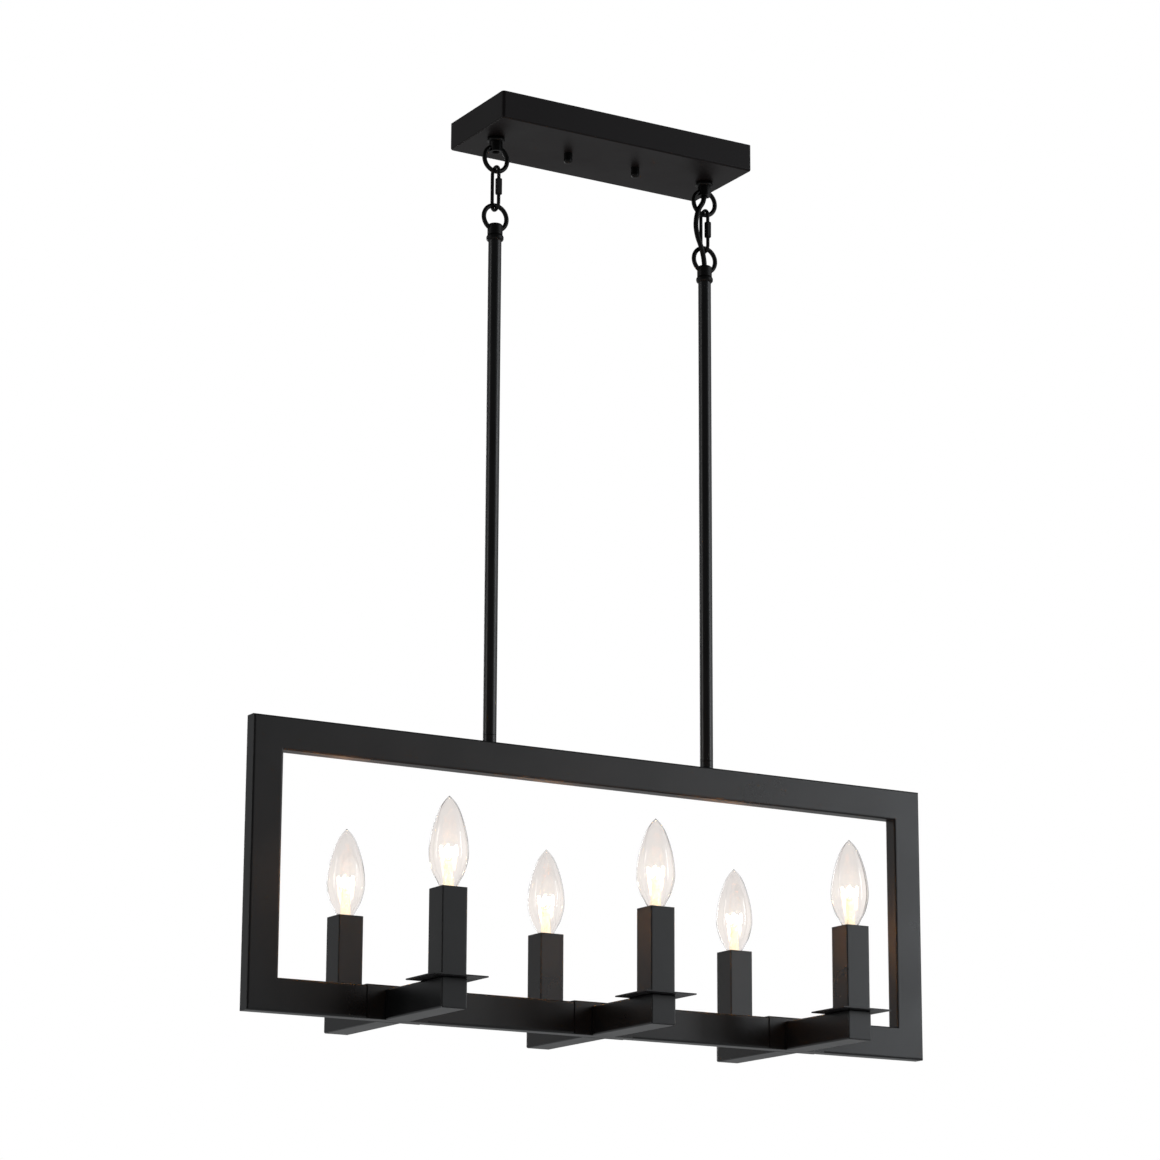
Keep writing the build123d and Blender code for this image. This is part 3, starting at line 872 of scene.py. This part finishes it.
    def build(
        self,
        metal: bpy.types.Material,
        stem: bpy.types.Material,
        wire: bpy.types.Material,
        hot: bpy.types.Material,
    ) -> None:
        """Make the bulb's pieces and its light.

        Args:
            metal: The finish of the screw base.
            stem: The finish of the glass stem, with its painted glow.
            wire: The finish of the wires.
            hot: The filament's finish.
        """
        centre = self.axis + Vector((0.0, 0.0, self.rim + self.filament_height))
        glass = self.glass()
        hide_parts(self.glass_node)
        place(glass, self.body, Slot.GLASS, LAMP_GLASS.material(centre))
        glass.visible_shadow = False
        base = self.base()
        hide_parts(self.base_node)
        place(base, self.body, Slot.BASE, metal)
        place(self.stem(), self.body, Slot.GLASS, stem)
        for piece in self.wires():
            place(piece, self.body, Slot.BASE, wire)
        place(self.filament(), self.body, Slot.BASE, hot)
        lamp = bpy.data.lights.new(self.body + "_light", "POINT")
        lamp.energy = self.light_watts
        lamp.color = self.light_colour
        lamp.shadow_soft_size = self.light_radius
        light = bpy.data.objects.new(self.body + "_light", lamp)
        light.visible_transmission = False
        light.location = centre
        bpy.context.scene.collection.objects.link(light)
        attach(light, self.body)


# -------------------------------------------------------------- painted metalwork


@dataclass
class Metalwork:
    """The model's own solids, each dressed in its slot's finish."""

    finishes: dict[Slot, object] = field(
        default_factory=lambda: {
            Slot.CANOPY: CANOPY_PAINT,
            Slot.FRAME: FRAME_PAINT,
            Slot.SLEEVE: SLEEVE_PAINT,
            Slot.HARDWARE: HARDWARE_PAINT,
            Slot.ZINC: ZINC_PLATE,
            Slot.CORD: CORD_SHEATH,
            Slot.SOCKET: SOCKET_PLASTIC,
            Slot.BASE: LAMP_BASE,
        }
    )
    sheet_nodes: tuple[str, ...] = (
        "saddle",
        "drip_plate",
        "rod_left",
        "rod_right",
        "rod_couplings",
    )

    def build(self) -> dict[Slot, bpy.types.Material]:
        """Dress every solid that still shows.

        Returns:
            The material of each slot.
        """
        materials = {slot: finish.material() for slot, finish in self.finishes.items()}
        slots = {row["node"]: Slot(row["material_slot"]) for row in frame["record"]["subparts"]}
        sheet = PLATE_PAINT.material()
        for name, node in frame["nodes"].items():
            if slots[name] in materials:
                plain = name.startswith(self.sheet_nodes)
                dress(node, sheet if plain else materials[slots[name]])
                smooth(node)
                LOG.info("%s is dressed in %s", name, slots[name].value)
        return materials


# ------------------------------------------------------------------------ studio


@dataclass(frozen=True)
class Glow:
    """A soft bright area of the surroundings: its direction, edge, middle and strength."""

    towards: tuple[float, float, float]
    outside: float
    inside: float
    strength: float


@dataclass(frozen=True)
class Strip:
    """A tall soft lamp: its name, place, power in watts and colour."""

    name: str
    place: tuple[float, float, float]
    watts: float
    colour: Colour


@dataclass
class Studio:
    """The camera, the pale floor, the lamps and the white surroundings."""

    camera_place: Vector = field(default_factory=lambda: Vector((-1.7001, -2.8356, -1.270)))
    yaw: float = math.radians(30.61)
    pitch: float = math.radians(13.98)
    roll: float = math.radians(0.262)
    sensor: float = 36.0
    focal_pixels: float = 3608.6
    picture_width: float = 1160.0
    floor_height: float = -4.5
    floor_half: float = 18.0
    floor_glow: float = 0.66
    floor_sheen: float = 0.08
    aim: Vector = field(default_factory=lambda: Vector((0.0, 0.0, -0.6)))
    strip_width: float = 0.45
    strip_height: float = 2.4
    strips: tuple[Strip, ...] = (
        Strip("strip_right", (2.7, -2.6, 0.0), 22.0, (0.90, 0.95, 1.0)),
        Strip("strip_left", (-3.4, 0.8, 0.0), 16.0, (1.0, 0.99, 0.98)),
        Strip("strip_back", (0.1, 3.6, -0.4), 16.0, (1.0, 1.0, 1.0)),
    )
    soft_level: float = 0.4
    overhead_start: float = 0.5
    overhead_full: float = 0.9
    overhead_level: float = 0.7
    tint: Colour = (0.96, 0.98, 1.0)
    glows: tuple[Glow, ...] = (
        Glow((0.0, 0.0, 1.0), -2.0, -1.5, 0.10),
        Glow((0.85, -0.50, 0.15), 0.75, 0.98, 1.40),
        Glow((-0.74, 0.66, 0.10), 0.70, 0.99, 0.34),
        Glow((0.50, 0.85, -0.10), 0.60, 0.95, 0.12),
        Glow((0.0, 0.0, -1.0), 0.30, 0.90, 0.29),
    )

    def camera(self) -> None:
        """Make the camera at the photograph's place and angle."""
        ahead = Vector(
            (
                math.sin(self.yaw) * math.cos(self.pitch),
                math.cos(self.yaw) * math.cos(self.pitch),
                math.sin(self.pitch),
            )
        )
        right = Vector((math.cos(self.yaw), -math.sin(self.yaw), 0.0))
        up = right.cross(ahead)
        tilted_right = right * math.cos(self.roll) + up * math.sin(self.roll)
        tilted_up = up * math.cos(self.roll) - right * math.sin(self.roll)
        lens = bpy.data.cameras.new("camera")
        lens.sensor_width = self.sensor
        lens.lens = self.focal_pixels / self.picture_width * self.sensor
        lens.clip_end = 50.0
        camera = bpy.data.objects.new("camera", lens)
        turned = Matrix((tilted_right, tilted_up, -ahead)).transposed().to_4x4()
        camera.matrix_world = Matrix.Translation(self.camera_place) @ turned
        bpy.context.scene.collection.objects.link(camera)
        bpy.context.scene.camera = camera

    def floor_light(self, board: Board) -> bpy.types.NodeSocket:
        """Return what makes the floor pale to the eye and in glass, and a little in paint."""
        path = board.add("LightPath")
        seen = board.calculate(
            "MAXIMUM", path.outputs["Is Camera Ray"], path.outputs["Is Transmission Ray"]
        )
        glow = board.calculate("MULTIPLY", seen, self.floor_glow)
        sheen = board.calculate("MULTIPLY", path.outputs["Is Glossy Ray"], self.floor_sheen)
        return board.calculate("ADD", glow, sheen)

    def floor(self) -> None:
        """Make the plain pale floor."""
        half = self.floor_half
        square = ((-half, -half), (half, -half), (half, half), (-half, half))
        corners = [Vector((x, y, self.floor_height)) for x, y in square]
        floor = mesh_object("floor", corners, [(0, 1, 2, 3)])
        made = bpy.data.materials.new("pale_floor")
        board = Board(made)
        shader = board.add("BsdfPrincipled")
        board.feed(
            shader,
            Base_Color=board.ramp(board.noise(2.0), (0.86, 0.86, 0.86), (0.9, 0.9, 0.9)),
            Roughness=0.8,
            Emission_Color=(1.0, 1.0, 1.0, 1.0),
            Emission_Strength=self.floor_light(board),
        )
        board.finish(shader)
        dress(floor, made)

    def lamps(self) -> None:
        """Light the pendant softly from the right, the left and the back."""
        for strip in self.strips:
            lamp = bpy.data.lights.new(strip.name, "AREA")
            lamp.shape = "RECTANGLE"
            lamp.size = self.strip_width
            lamp.size_y = self.strip_height
            lamp.energy = strip.watts
            lamp.color = strip.colour
            made = bpy.data.objects.new(strip.name, lamp)
            made.location = strip.place
            made.rotation_mode = "QUATERNION"
            made.rotation_quaternion = (self.aim - Vector(strip.place)).to_track_quat("-Z", "Y")
            made.visible_transmission = False
            bpy.context.scene.collection.objects.link(made)

    def lobe(self, board: Board, place: bpy.types.NodeSocket, glow: Glow) -> bpy.types.NodeSocket:
        """Return the brightness that one soft area gives the surroundings.

        Args:
            board: The world's nodes.
            place: The direction that is looked in.
            glow: The area.

        Returns:
            Its brightness in that direction.
        """
        facing = board.add("VectorMath", operation="DOT_PRODUCT")
        board.tree.links.new(place, facing.inputs[0])
        facing.inputs[1].default_value = Vector(glow.towards).normalized()
        ease = board.add("MapRange", interpolation_type="SMOOTHSTEP")
        board.feed(
            ease,
            Value=facing.outputs["Value"],
            From_Min=glow.outside,
            From_Max=glow.inside,
            To_Min=0.0,
            To_Max=glow.strength,
        )
        return ease.outputs[0]

    def surroundings(self) -> None:
        """Make the surroundings: white to the eye, and a studio to paint and glass."""
        world = bpy.data.worlds.new("studio")
        bpy.context.scene.world = world
        board = Board(world)
        path = board.add("LightPath")
        place = board.add("TexCoord").outputs["Generated"]
        level = self.lobe(board, place, self.glows[0])
        for glow in self.glows[1:]:
            level = board.calculate("ADD", level, self.lobe(board, place, glow))
        shades = {}
        for name, strength in (("soft", self.soft_level), ("studio", level)):
            shades[name] = board.add("Background")
            board.feed(shades[name], Color=(*self.tint, 1.0), Strength=strength)
        height = board.add("SeparateXYZ")
        board.feed(height, Vector=place)
        seen_through = board.add("MapRange", interpolation_type="SMOOTHSTEP")
        board.feed(
            seen_through,
            Value=height.outputs["Z"],
            From_Min=self.overhead_start,
            From_Max=self.overhead_full,
            To_Min=1.0,
            To_Max=self.overhead_level,
        )
        shades["through"] = board.add("Background")
        board.feed(shades["through"], Color=(1.0, 1.0, 1.0, 1.0), Strength=seen_through.outputs[0])
        shades["white"] = board.add("Background")
        board.feed(shades["white"], Color=(1.0, 1.0, 1.0, 1.0), Strength=1.0)
        last = shades["soft"]
        for ray, shade in (("Glossy", "studio"), ("Transmission", "through"), ("Camera", "white")):
            choice = board.add("MixShader")
            board.tree.links.new(path.outputs[f"Is {ray} Ray"], choice.inputs[0])
            board.tree.links.new(last.outputs[0], choice.inputs[1])
            board.tree.links.new(shades[shade].outputs[0], choice.inputs[2])
            last = choice
        output = board.add("OutputWorld")
        board.tree.links.new(last.outputs[0], output.inputs["Surface"])

    def build(self) -> None:
        """Make the whole studio."""
        bpy.context.scene.view_settings.view_transform = "Standard"
        self.camera()
        self.floor()
        self.lamps()
        self.surroundings()


def main() -> None:
    """Build the pendant's looks in order."""
    logging.basicConfig(level=logging.INFO, format="%(name)s: %(message)s")
    Studio().build()
    materials = Metalwork().build()
    SupplyCord().build(materials[Slot.CORD])
    stem = STEM_GLASS_PAINTED_GLOW.material()
    wire = LEAD_WIRE.material()
    hot = FILAMENT.material()
    for row in Row:
        for spot in Place:
            Bulb(row, spot).build(materials[Slot.BASE], stem, wire, hot)


if __name__ == "__main__":
    main()
